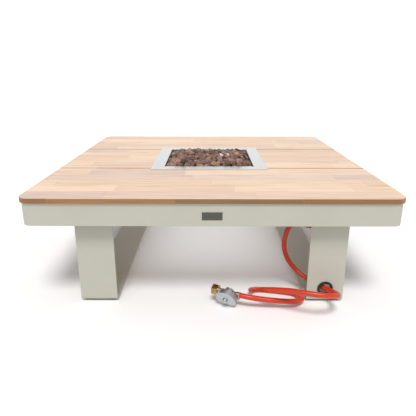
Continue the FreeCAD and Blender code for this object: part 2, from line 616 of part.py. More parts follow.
guard_outer = pilot_block("guard_outer", "0", MIXER_TOP, "%s - %s" % (GUARD_TOP, MIXER_TOP))
guard_inner = pilot_block("guard_inner", "-pilot_sheet", MIXER_TOP + " - 1",
                          "%s - %s + 1 - pilot_sheet" % (GUARD_TOP, MIXER_TOP))
pipe_pass = box("guard_pass", ("2 * pilot_wide", "burner_pipe + 6", "burner_lift + burner_pipe"),
                ("%s - pilot_wide" % PILOT_X, "-burner_pipe / 2 - 3", MIXER_TOP + " - 1"))
slots = [box("guard_slot_%d" % k, ("pilot_wide / 2", "2 * pilot_deep", "4"),
             ("%s - pilot_wide / 4" % PILOT_X, "-pilot_deep", "%s - %d" % (GRATE_TOP, 12 + 9 * k)))
         for k in range(3)]
node(cut("pilot_guard", guard_outer, [guard_inner, pipe_pass] + slots), "pilot_guard")
PROBE_Y = "-(burner_pipe / 2 + probe)"
for hole, (name, radius, x) in zip(floor_holes[1:], PROBES):
    bind(hole, "Placement.Base.y", PROBE_Y)
    node(rod(name, radius, "%s + 2 - %s" % (GRATE_TOP, SHIELD_LOW), (x, PROBE_Y, SHIELD_LOW + " - 4")),
         name)

# ---- rock grate and the bed of lava rock on it ------------------------------------------
GRATE_SIDE = "(tray - 2 * tray_wall - 2 * grate_clear)"
GRATE_LOW = "(%s - grate_bar)" % GRATE_TOP
frame_bar = cut("grate_frame", square("grate_outer", GRATE_SIDE, "grate_bar", GRATE_LOW),
                [square("grate_inner", GRATE_SIDE + " - 2 * grate_bar", "grate_bar + 2",
                        GRATE_LOW + " - 1")])
rod_count = int(size(GRATE_SIDE + " / grate_pitch"))
rods = [rod("grate_rod_%d" % k, "grate_rod / 2", GRATE_SIDE + " - grate_bar",
            ("%s + (%d) * grate_pitch" % (BX, k), "-%s / 2 + grate_bar / 2" % GRATE_SIDE,
             GRATE_TOP + " - grate_bar / 2"), Y_AXIS)
        for k in range(-(rod_count // 2) + 1, rod_count // 2)]
cross_bars = [box("grate_cross_%d" % k, (GRATE_SIDE + " - grate_bar", "grate_rod", "grate_bar / 2"),
                  ("%s - %s / 2 + grate_bar / 2" % (BX, GRATE_SIDE), "%d * tray / 4 - grate_rod / 2" % k,
                   GRATE_LOW)) for k in (-1, 1)]
grate_gap = pilot_block("grate_gap", "pilot_clear", GRATE_LOW + " - 5", "3 * grate_bar")
node(cut("rock_grate", fuse("grate_blank", [frame_bar] + rods + cross_bars), [grate_gap]),
     "rock_grate")
brackets = [box("grate_bracket_%d" % i, ("3 * grate_bar", "3 * grate_bar", "2 * grate_bar"),
                ("%s %s" % (BX, x), y, GRATE_LOW + " - 2 * grate_bar"))
            for i, (x, y) in enumerate(
                (x, y) for x in ("+ tray / 2 - tray_wall - 3 * grate_bar", "- tray / 2 + tray_wall")
                for y in ("tray / 2 - tray_wall - 3 * grate_bar", "-tray / 2 + tray_wall"))]
node(group("grate_brackets", brackets), "grate_brackets")

ROCK_SIDE = "(tray - 2 * tray_wall - 2 * rock_clear)"
rock = rounded_pad("rock_bed", ROCK_SIDE, ROCK_SIDE, "grate_depth + rock_rise", "rock_slope + 4",
                   (BX, "0", GRATE_TOP))
edge_feature(rock, "PartDesign::Chamfer", "rock_edge", "Size", "rock_slope",
             size("grate_depth + rock_rise"))
rock_gap = pilot_block("rock_gap", "pilot_clear", GRATE_TOP + " - 5", "2 * grate_depth + 2 * rock_rise")
node(cut("lava_rock", rock, [rock_gap]), "lava_rock")

# ---- air mixer with its gas jet, below the tray -----------------------------------------
mixer_skin = rod("mixer_skin", MIXER_R, "%s - %s" % (MIXER_TOP, MIXER_LOW), (BX, "0", MIXER_LOW))
mixer_bore = rod("mixer_bore", MIXER_R + " - 2", "tray_depth", (BX, "0", MIXER_LOW + " + 3"))
jet_bore = rod("jet_bore", "gas_pipe / 2 + 1", "10", (BX, "0", MIXER_LOW + " - 3"))
windows = [rod("mixer_window_x", "mixer / 5", "mixer + 4",
               ("%s - mixer / 2 - 2" % BX, "0", MIXER_LOW + " + mixer * 0.7"), X_AXIS),
           rod("mixer_window_y", "mixer / 5", "mixer + 4",
               (BX, "-mixer / 2 - 2", MIXER_LOW + " + mixer * 0.7"), Y_AXIS)]
node(cut("air_mixer", mixer_skin, [mixer_bore, jet_bore] + windows), "air_mixer")
jet_hex = hexagon("jet_hex", "gas_pipe * 2", "jet_length", (BX, "0", MIXER_LOW + " - jet_length"))
jet_nose = rod("jet_nose", "gas_pipe / 2 + 1", "9", (BX, "0", MIXER_LOW))
jet_hole = rod("jet_hole", "0.6", "jet_length + 30", (BX, "0", MIXER_LOW + " - 12"))
node(cut("gas_jet", fuse("jet_blank", [jet_hex, jet_nose]), [jet_hole]), "gas_jet")

# ---- control panel: a dish set into the apron -------------------------------------------
PANEL_LOW = "(%s - panel_height / 2)" % CONTROL_Z
DISH = ("panel_width - 2 * panel_lip", DISH_HEIGHT)


def panel_block(name, width, height, thick, x):
    return box(name, (thick, width, height),
               (x, "%s - (%s) / 2" % (PANEL_Y, width), "%s - (%s) / 2" % (CONTROL_Z, height)))


bezel = panel_block("bezel", "panel_width", "panel_height", "panel_sheet", APRON_RIGHT)
dish = panel_block("dish", DISH[0], DISH[1], "panel_depth", DISH_FLOOR)
dish_space = panel_block("dish_space", DISH[0] + " - 2 * panel_sheet",
                         DISH[1] + " - 2 * panel_sheet", "2 * panel_depth",
                         DISH_FLOOR + " + panel_sheet")
IN_FRONT = "(%s + panel_sheet)" % DISH_FLOOR


def along_knob(name, radius, length, start):
    """A round bar on the gas knob's axis, from start towards the front of the knob."""
    return rod(name, radius, length, (start, KNOB_Y, CONTROL_Z), X_AXIS)


def along_button(name, radius, length, start):
    """A round bar on the igniter button's axis, from start towards the front of the button."""
    return rod(name, radius, length, (start, BUTTON_Y, CONTROL_Z), X_AXIS)


EAR = "6"
stem_hole = along_knob("stem_hole", "stem / 2 + 1", "2 * panel_depth", DISH_FLOOR + " - panel_sheet")
igniter_hole = along_button("igniter_hole", "igniter / 2", "2 * panel_depth",
                            DISH_FLOOR + " - panel_sheet")
valve_screws, screw_holes = [], []
for i, sign in enumerate(("-", "+")):
    y = "%s %s knob_size / 3" % (KNOB_Y, sign)
    screw_holes.append(rod("valve_screw_hole_%d" % i, "screw / 2", "3 * " + EAR,
                           ("%s - 1.5 * %s" % (DISH_FLOOR, EAR), y, CONTROL_Z), X_AXIS))
    shank = rod("valve_screw_shank_%d" % i, "screw / 2", EAR + " + panel_sheet",
                ("%s - %s" % (DISH_FLOOR, EAR), y, CONTROL_Z), X_AXIS)
    head = rod("valve_screw_head_%d" % i, "screw * 0.9", "valve_screw_head",
               (IN_FRONT, y, CONTROL_Z), X_AXIS)
    valve_screws.append(fuse("valve_screw_%d" % i, [shank, head]))
node(cut("control_panel", fuse("panel_blank", [bezel, dish]),
         [dish_space, stem_hole, igniter_hole] + screw_holes), "control_panel")
node(group("valve_screws", valve_screws), "valve_screws")

# ---- gas valve: body, plug that turns, stem and knob that turn and push -----------------
VALVE_BACK = "(%s - valve_length)" % DISH_FLOOR
VALVE_FRONT = "(%s - valve_neck)" % DISH_FLOOR
casting = box("valve_casting",
              ("%s - %s" % (VALVE_FRONT, VALVE_BACK), "valve_body", "valve_body * 1.5"),
              (VALVE_BACK, KNOB_Y + " - valve_body / 2", CONTROL_Z + " - valve_body"))
neck = along_knob("valve_neck_rod", "valve_body / 4", "valve_neck", VALVE_FRONT)
ears = box("valve_ears", (EAR, "knob_size", "valve_body / 2"),
           ("%s - %s" % (DISH_FLOOR, EAR), KNOB_Y + " - knob_size / 2",
            CONTROL_Z + " - valve_body / 4"))
plug_bore = along_knob("plug_bore", "plug / 2 + fit", "%s - %s - 3" % (VALVE_FRONT, VALVE_BACK),
                       VALVE_BACK)
stem_bore = along_knob("stem_bore", "stem / 2 + 0.4", "2 * valve_length", VALVE_BACK)
OUTLET = ("(%s - 0.6 * valve_body)" % VALVE_FRONT, KNOB_Y + " + valve_body / 2",
          CONTROL_Z + " - valve_body * 0.45")
OUTLET_LENGTH = "12"
outlet = rod("valve_outlet", "gas_pipe / 2 + 3", OUTLET_LENGTH, OUTLET, Y_AXIS)
node(cut("gas_valve", fuse("valve_blank", [casting, neck, ears, outlet]),
         [plug_bore, stem_bore] + screw_holes), "gas_valve")
MAGNET_BACK = "(%s - magnet_length)" % VALVE_BACK
node(along_knob("magnet_unit", "plug / 2 + 2", "magnet_length", MAGNET_BACK), "magnet_unit")
PLUG_START = "(%s + 1)" % VALVE_BACK
PLUG_LENGTH = "(%s - %s - 5)" % (VALVE_FRONT, VALVE_BACK)
plug_solid = along_knob("plug_solid", "plug / 2", PLUG_LENGTH, PLUG_START)
plug_socket = along_knob("plug_socket", "stem / 2 + fit", PLUG_LENGTH, PLUG_START + " + 3")
node(cut("valve_plug", plug_solid, [plug_socket]), "valve_plug")
KNOB_BASE = "(%s + valve_screw_head + knob_travel + knob_space)" % IN_FRONT
CROWN_BASE = "(%s + knob_length * 0.3)" % KNOB_BASE
STEM_START = "(%s + 4 + knob_travel)" % PLUG_START
STEM_END = "(%s + knob_length - 4)" % KNOB_BASE
node(along_knob("valve_stem", "stem / 2", "%s - %s" % (STEM_END, STEM_START), STEM_START),
     "valve_stem")
skirt = along_knob("knob_skirt", "knob_size / 2", "knob_length * 0.3", KNOB_BASE)
crown = cone("knob_crown", "knob_size * 0.42", "knob_size * 0.36", "knob_length * 0.7",
             (CROWN_BASE, KNOB_Y, CONTROL_Z), X_AXIS)
knob_socket = along_knob("knob_socket", "stem / 2", "knob_length - 4", KNOB_BASE)
knob_room = along_knob("knob_room", "knob_size / 2 - 3", "knob_length * 0.3", KNOB_BASE + " - 1")
knob_hub = along_knob("knob_hub", "stem", "knob_length", KNOB_BASE + " - 2")
FLUTES = 12
flutes = []
for k in range(FLUTES):
    turn = 2 * math.pi * (k + 0.5) / FLUTES
    flutes.append(rod("knob_flute_%d" % k, "knob_size * 0.073", "knob_length",
                      (CROWN_BASE, "%s + knob_size * 0.42 * (%.6f)" % (KNOB_Y, math.cos(turn)),
                       "%s + knob_size * 0.42 * (%.6f)" % (CONTROL_Z, math.sin(turn))), X_AXIS))
mark = box("knob_mark", ("1", "1.6", "knob_size * 0.3"),
           (KNOB_BASE + " + knob_length - 0.6", KNOB_Y + " - 0.8", CONTROL_Z + " + 2"))
node(cut("control_knob", fuse("knob_blank", [skirt, crown]),
         [knob_socket, cut("knob_hollow", knob_room, [knob_hub]), mark] + flutes), "control_knob")

# ---- igniter: a threaded body through the panel, its nut, and the button that slides in it
IGNITER_BACK = "(%s - igniter_length)" % DISH_FLOOR
IGNITER_LIP = "2.5"
LIP_TOP = "(%s + %s)" % (IN_FRONT, IGNITER_LIP)
TERMINAL_END = "(%s - 8)" % IGNITER_BACK
body_rod = along_button("igniter_rod", "igniter / 2", "igniter_length + panel_sheet", IGNITER_BACK)
body_lip = along_button("igniter_lip", "igniter / 2 + 2.5", IGNITER_LIP, IN_FRONT)
terminal = along_button("igniter_terminal", "3", "8", TERMINAL_END)
button_well = along_button("button_well", "button / 2 + fit", "igniter_length",
                           IGNITER_BACK + " + 8")
node(cut("igniter_body", fuse("igniter_blank", [body_rod, body_lip, terminal]), [button_well]),
     "igniter_body")
NUT_THICK = "5"
igniter_nut = hexagon("igniter_nut_hex", "igniter + 8", NUT_THICK,
                      ("%s - %s" % (DISH_FLOOR, NUT_THICK), BUTTON_Y, CONTROL_Z), X_AXIS)
nut_hole = along_button("igniter_nut_hole", "igniter / 2", "3 * " + NUT_THICK,
                        "%s - 2 * %s" % (DISH_FLOOR, NUT_THICK))
node(cut("igniter_nut", igniter_nut, [nut_hole]), "igniter_nut")
BUTTON_START = "(%s + 9 + button_travel)" % IGNITER_BACK
node(along_button("igniter_button", "button / 2",
                  "%s + button_proud - %s" % (LIP_TOP, BUTTON_START), BUTTON_START),
     "igniter_button")

# ---- gas hose and what is on it ---------------------------------------------------------
# The hose's centre line leaves the valve, drops behind the right-hand leg, comes out through
# the grommet, makes one raised loop in front of the leg and one flat turn on the ground, and
# ends at the regulator. The first points are counted from the hose's end at the valve, and
# the others from the ground under the grommet.
TAIL_END = "(%s - tail_length)" % VALVE_BACK
TAIL_Z = "(table_height - hose_drop)"
FROM_VALVE = [(0, 0, 0), (-50, 0, 0), (-98, 0, -4), (-134, 0, -28)]
HALF_WAY = (-102, 82)
FROM_GROMMET = [
    (-108.5, 81, 139), (-95, 77, 94), (-63, 61, 60), (-24, 32, 44), (17, -18, 43),
    (21, -63, 58), (-6, -94, 74), (-54, -94, 79), (-106, -71, 76), (-150, -45, 65),
    (-186, -15, 48), (-206, 13, 30), (-205, 41, 15), (-182, 58, 8), (-140, 50, 7.5),
    (-104, 42, 7.5), (-80, 35, 7.5), (-63, 13, 10), (-64, -11, 15), (-83, -29, 20),
    (-116, -35, 23), (-153, -36, 27), (-190, -35, 31), (-226, -34, 36.8), (-253, -21, 36.8),
]
valve_end = V(size(TAIL_END), size(KNOB_Y), size(TAIL_Z))
ground = V(size(LEG_X), -size(POST_FACE), 0)
drop = [valve_end + V(*step) for step in FROM_VALVE]
lie = [ground + V(*step) for step in FROM_GROMMET]
half_way = V(ground.x + HALF_WAY[0], ground.y + HALF_WAY[1], (drop[-1].z + lie[0].z) / 2)
HOSE_ROUTE = drop + [half_way] + lie
hose = node(tube("gas_hose", HOSE_ROUTE, size("hose") / 2), "gas_hose")
print("hose length along the runs: %.0f" % sum(
    (b - a).Length for a, b in zip(HOSE_ROUTE, HOSE_ROUTE[1:])))
print("hose route: %s" % [tuple(round(c, 1) for c in point) for point in HOSE_ROUTE])

tail_pipe = rod("tail_pipe", "hose / 2 - 1", "tail_length", (TAIL_END, KNOB_Y, TAIL_Z), X_AXIS)
tail_nut = hexagon("tail_nut", "hose + 4", "10", (VALVE_BACK + " - 10", KNOB_Y, TAIL_Z), X_AXIS)
tail_bore = rod("tail_bore", "2.5", "2 * tail_length", (TAIL_END + " - 5", KNOB_Y, TAIL_Z), X_AXIS)
node(cut("hose_tail", fuse("tail_blank", [tail_pipe, tail_nut]), [tail_bore]), "hose_tail")


def hose_clamp(name):
    """A worm clamp about the origin, its axis along X and its screw beside the hose."""
    band = rod(name + "_band", "hose / 2 + clamp_wall", "clamp_width",
               ("-clamp_width / 2", "0", "0"), X_AXIS)
    housing = box(name + "_housing", ("clamp_width", "6", "9"),
                  ("-clamp_width / 2", "-hose / 2 - 6.4", "-4.5"))
    screw = rod(name + "_screw", "2.6", "15", ("0", "-hose / 2 - 3.4", "-8"), Z_AXIS)
    hole = rod(name + "_hole", "hose / 2", "3 * clamp_width", ("-1.5 * clamp_width", "0", "0"),
               X_AXIS)
    return cut(name, fuse(name + "_blank", [band, housing, screw]), [hole])


valve_clamp = node(hose_clamp("hose_clamp_valve"), "hose_clamp_valve")
place(valve_clamp, (TAIL_END + " - clamp_width", KNOB_Y, TAIL_Z))

# ---- regulator: built about its own axis, hose side along +X, face towards +Z -----------
last_run = HOSE_ROUTE[-2] - HOSE_ROUTE[-1]
heading = math.degrees(math.atan2(last_run.y, last_run.x))
LIE = FreeCAD.Rotation(Z_AXIS, heading) * FreeCAD.Rotation(X_AXIS, size("regulator_lean"))
CENTRE = HOSE_ROUTE[-1] - LIE.multVec(X_AXIS) * size("regulator_arm")
RR = "regulator_radius"
INLET_END = "(regulator_radius + inlet_reach)"
OUTLET_END = "(regulator_radius * 0.58)"
print("regulator centre %s, axis %s" % (tuple(CENTRE), tuple(LIE.multVec(-X_AXIS))))


def lay(thing, label, shift=0.0):
    """Set a regulator piece down where the regulator lies."""
    thing.Placement = FreeCAD.Placement(CENTRE + LIE.multVec(X_AXIS) * shift, LIE)
    return node(thing, label)


def turned(name, radius, length, height):
    """A round piece of the regulator about its face's axis; height is above the rim's underside."""
    return rod(name, radius, length, ("0", "0", "regulator_rim + (%s)" % height))


def arm(name, radius, length, start):
    """A round piece on the regulator's inlet side, from start outwards."""
    return rod(name, radius, length, ("-(%s)" % start, "0", "0"), -X_AXIS)


housing_parts = [
    turned("housing_rim", RR, "10.4", "0"),
    cone("housing_bowl", RR + " * 0.4", RR + " * 0.64", "8", ("0", "0", "regulator_rim - 8")),
    rod("housing_body", RR + " * 0.45", "regulator_rim + 6", ("0", "0", "-8")),
    rod("housing_outlet", "hose / 2 + 0.5", OUTLET_END, ("0", "0", "0"), X_AXIS),
    arm("housing_inlet", "8", INLET_END, "0")]
housing_tools = [
    turned("housing_room", RR + " - 3", "5", "8.4"),
    turned("housing_well", RR + " * 0.4", "14", "-5"),
    rod("housing_bore", "2.5", "4 * " + RR, ("-2 * " + RR, "0", "0"), X_AXIS)]
lay(cut("regulator_housing", fuse("housing_blank", housing_parts), housing_tools),
    "regulator_housing")
lay(cut("diaphragm", turned("diaphragm_disc", RR + " - 3.1", "1.2", "8.8"),
        [turned("diaphragm_eye", "2", "9", "5")]), "diaphragm")
cover_parts = [turned("cover_rim", RR + " - 0.8", "3", "10.4"),
               cone("cover_dome", RR + " - 4", RR + " * 0.5", "3",
                    ("0", "0", "regulator_rim + 13.4")),
               turned("cover_boss", "8", "7", "13.4")]
cover_tools = [turned("cover_room", RR + " - 5", "2", "9.9"),
               turned("cover_spring_room", "6.2", "20", "9.9")]
lay(cut("regulator_cover", fuse("cover_blank", cover_parts), cover_tools), "regulator_cover")
lay(cut("regulator_spring", turned("spring_rod", "5.6", "7.6", "10.2"),
        [turned("spring_hole", "4.4", "20", "5")]), "regulator_spring")
lay(fuse("regulator_cap", [turned("cap_plug", "6.2", "2.6", "17.8"),
                           turned("cap_head", "7", "1.6", "20.4")]), "regulator_cap")
nozzle = cut("nozzle_blank", fuse("nozzle_rods", [
    arm("nozzle_collar", "10", "3", INLET_END),
    arm("nozzle_tip", "5", "4", INLET_END + " + 3")]),
    [arm("nozzle_bore", "2.5", "4 * " + RR, "0")])
lay(nozzle, "inlet_nozzle")
lay(cut("coupling_seal", arm("seal_ring", "9", "3", INLET_END + " + 3"),
        [arm("seal_hole", "5", "3 * " + RR, RR)]), "coupling_seal")
nut_bar = hexagon("nut_bar", "nut_flats", "nut_length", ("5 - %s" % INLET_END, "0", "0"), -X_AXIS)
nut_neck = arm("nut_neck", "8 + fit", "nut_length + 2 * " + RR, "0")
nut_room = arm("nut_room", "10.6", "nut_length", INLET_END + " - 0.3")
lay(cut("coupling_nut", nut_bar, [nut_neck, nut_room]), "coupling_nut")
end_clamp = hose_clamp("hose_clamp_regulator")
lay(end_clamp, "hose_clamp_regulator", size("regulator_arm + clamp_width"))
tail_rod = rod("tail_rod", "hose / 2 - 1", "regulator_arm - " + OUTLET_END,
               (OUTLET_END, "0", "0"), X_AXIS)
lay(cut("regulator_tail", tail_rod,
        [rod("tail_rod_bore", "2.5", "4 * " + RR, ("0", "0", "0"), X_AXIS)]), "regulator_tail")

# ---- rigid gas pipe and the two leads under the tray ------------------------------------
outlet_at = V(size(OUTLET[0]), size("%s + %s" % (OUTLET[1], OUTLET_LENGTH)), size(OUTLET[2]))
jet_at = V(size(BX), 0, size(MIXER_LOW + " - jet_length"))
pipe_r = size("gas_pipe / 2")
dip = jet_at.z - 5 * pipe_r
PIPE_ROUTE = [outlet_at, outlet_at + V(0, 18, 0), outlet_at + V(-50, 55, dip - outlet_at.z),
              V(jet_at.x + 60, -20, dip), V(jet_at.x, 0, dip), jet_at]
node(tube("gas_pipe", PIPE_ROUTE, pipe_r, 7 * pipe_r), "gas_pipe")
LEAD = 1.6
LEADS = (
    ("ignition_lead", PROBES[0], V(size(TERMINAL_END), size(BUTTON_Y), size(CONTROL_Z)), 40),
    ("thermocouple_lead", PROBES[1], V(size(MAGNET_BACK), size(KNOB_Y), size(CONTROL_Z)), -10),
)
for name, (probe, radius, probe_x), end, spread in LEADS:
    start = V(size(probe_x), size(PROBE_Y), size(SHIELD_LOW + " - 4"))
    low = start - V(0, 0, 24 + spread / 4)
    near = end - V(24, 0, 0)
    side = near + V(-20, 40, -8)
    past_shield = V(size(SHIELD_SIDE + " + lead_space"), (low.y + side.y) / 2 + spread, low.z)
    node(tube(name, [start, low, past_shield, side, near, end], LEAD, 22), name)

# ---- check every object, then write one file per node -----------------------------------
doc.recompute()
for thing in doc.Objects:
    if "Invalid" in thing.State or "Error" in thing.State:
        raise RuntimeError("%s did not build: %s" % (thing.Label, thing.State))
os.makedirs("parts", exist_ok=True)
for thing in NODES:
    if thing.Shape.isNull() or not thing.Shape.isValid():
        raise RuntimeError("%s has no valid shape" % thing.Label)
    thing.Shape.exportStep(os.path.join("parts", thing.Label + ".step"))
print("%d nodes" % len(NODES))
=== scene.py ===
import json
import math

import bmesh
import bpy
import numpy as np
from mathutils import Matrix, Vector, noise


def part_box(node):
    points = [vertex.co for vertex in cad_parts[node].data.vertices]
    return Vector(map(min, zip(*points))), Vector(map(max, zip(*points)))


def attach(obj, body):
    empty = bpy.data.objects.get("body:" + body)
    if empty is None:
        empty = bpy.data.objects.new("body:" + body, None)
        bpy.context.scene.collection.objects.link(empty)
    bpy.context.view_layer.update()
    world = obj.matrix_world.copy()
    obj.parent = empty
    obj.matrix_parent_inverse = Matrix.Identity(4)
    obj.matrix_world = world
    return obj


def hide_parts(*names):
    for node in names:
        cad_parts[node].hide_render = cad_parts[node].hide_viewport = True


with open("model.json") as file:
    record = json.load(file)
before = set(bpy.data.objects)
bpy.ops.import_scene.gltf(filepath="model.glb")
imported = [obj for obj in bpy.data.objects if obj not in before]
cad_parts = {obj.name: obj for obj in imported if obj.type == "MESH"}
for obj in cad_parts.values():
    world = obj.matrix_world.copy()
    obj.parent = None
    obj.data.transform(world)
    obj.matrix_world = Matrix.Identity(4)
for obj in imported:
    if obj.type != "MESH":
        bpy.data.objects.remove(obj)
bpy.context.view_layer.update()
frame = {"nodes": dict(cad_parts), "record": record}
NODES = frame["nodes"]
MM = 0.001


# ---------------------------------------------------------------- camera

LENS_MM = 35.9
CAMERA_PLACE = (-0.0081, -1.4965, 0.6347)
LOOKS_DOWN = 17.23
TURNED = 0.17
TILTED = -0.06
SHIFT_DOWN = -0.0274

camera = bpy.data.objects.new("camera", bpy.data.cameras.new("camera"))
camera.data.lens = LENS_MM
camera.data.shift_y = SHIFT_DOWN
camera.location = CAMERA_PLACE
camera.rotation_euler = (
    math.radians(90 - LOOKS_DOWN),
    math.radians(TILTED),
    math.radians(TURNED),
)
bpy.context.scene.collection.objects.link(camera)
bpy.context.scene.camera = camera


# ---------------------------------------------------------------- the gas hose's line

# The hose's route in millimetres, from the valve under the table to the regulator on the floor.
HOSE_ROUTE = [
    (372, -377, 254), (322, -377, 254), (274, -377, 250), (238, -377, 226), (216, -377, 182.5),
    (209.5, -378, 139), (223, -382, 94), (255, -398, 60), (294, -427, 44), (335, -477, 43),
    (339, -522, 58), (312, -553, 74), (264, -553, 79), (212, -530, 76), (168, -504, 65),
    (132, -474, 48), (112, -446, 30), (113, -418, 15), (136, -401, 8), (178, -409, 7.5),
    (214, -417, 7.5), (238, -424, 7.5), (255, -446, 10), (254, -470, 15), (235, -488, 20),
    (202, -494, 23), (165, -495, 27), (128, -494, 31), (92, -493, 36.8), (65, -480, 36.8),
]
HOSE_ACROSS = 0.015


def nurbs_line(name, points_mm, across):
    """A round line of one NURBS spline that the points steer."""
    curve = bpy.data.curves.new(name, "CURVE")
    curve.dimensions = "3D"
    curve.bevel_depth = across / 2
    curve.bevel_resolution = 7
    curve.resolution_u = 14
    curve.use_fill_caps = True
    spline = curve.splines.new("NURBS")
    spline.points.add(len(points_mm) - 1)
    for point, place in zip(spline.points, points_mm):
        point.co = (place[0] * MM, place[1] * MM, place[2] * MM, 1)
    spline.order_u = 3
    spline.use_endpoint_u = True
    line = bpy.data.objects.new(name, curve)
    bpy.context.scene.collection.objects.link(line)
    return line


hose = nurbs_line("hose", HOSE_ROUTE, HOSE_ACROSS)


# ---------------------------------------------------------------- small tools

def linear(hex_colour):
    """An sRGB hex colour as the linear colour that Blender's sockets take."""
    parts = [int(hex_colour[i : i + 2], 16) / 255 for i in (1, 3, 5)]
    return (
        *[c / 12.92 if c <= 0.04045 else ((c + 0.055) / 1.055) ** 2.4 for c in parts],
        1,
    )


def add(tree, kind, settings=None, links=None):
    """Adds a node. Each setting is a property of it or a socket's value; each link feeds a socket."""
    node = tree.nodes.new(kind)
    for key, value in (settings or {}).items():
        if isinstance(key, str) and hasattr(node, key):
            setattr(node, key, value)
        else:
            node.inputs[key].default_value = value
    for key, source in (links or {}).items():
        tree.links.new(source, node.inputs[key])
    return node


def start(name, settings):
    """A new material: its node tree and its shader, with the shader's own values set."""
    made = bpy.data.materials.new(name)
    made.use_nodes = True
    tree = made.node_tree
    shader = tree.nodes["Principled BSDF"]
    for key, value in settings.items():
        shader.inputs[key].default_value = value
    return made, tree, shader


def place_of(tree, stretch=(1, 1, 1), turn=(0, 0, 0)):
    """The place on the piece in metres, stretched for a pattern that is longer one way."""
    here = add(tree, "ShaderNodeTexCoord")
    return add(
        tree, "ShaderNodeMapping", {"Scale": stretch, "Rotation": turn},
        {"Vector": here.outputs["Object"]},
    ).outputs["Vector"]


def ramp(tree, source, stops):
    """Colours by value: each stop is a value from 0 to 1 and a hex colour."""
    node = add(tree, "ShaderNodeValToRGB", {}, {"Fac": source})
    band = node.color_ramp
    while len(band.elements) < len(stops):
        band.elements.new(0.5)
    for element, (value, colour) in zip(band.elements, stops):
        element.position = value
        element.color = linear(colour)
    return node.outputs["Color"]


def span(tree, source, low, high, to_low=0.0, to_high=1.0):
    """A value moved from one span to another, held inside it."""
    return add(
        tree, "ShaderNodeMapRange",
        {"From Min": low, "From Max": high, "To Min": to_low, "To Max": to_high},
        {"Value": source},
    ).outputs["Result"]


def bump(tree, shader, height, depth, strength=1.0, under=None):
    """Relief of that depth in metres on the shader, over any relief under it."""
    links = {"Height": height}
    if under is not None:
        links["Normal"] = under
    node = add(tree, "ShaderNodeBump", {"Strength": strength, "Distance": depth}, links)
    tree.links.new(node.outputs["Normal"], shader.inputs["Normal"])
    return node.outputs["Normal"]


def per_metre(size_mm):
    """A pattern's scale from the size in millimetres of one of its features."""
    return 1000 / size_mm


# ---------------------------------------------------------------- materials

OPEN_SEAM = 0.002


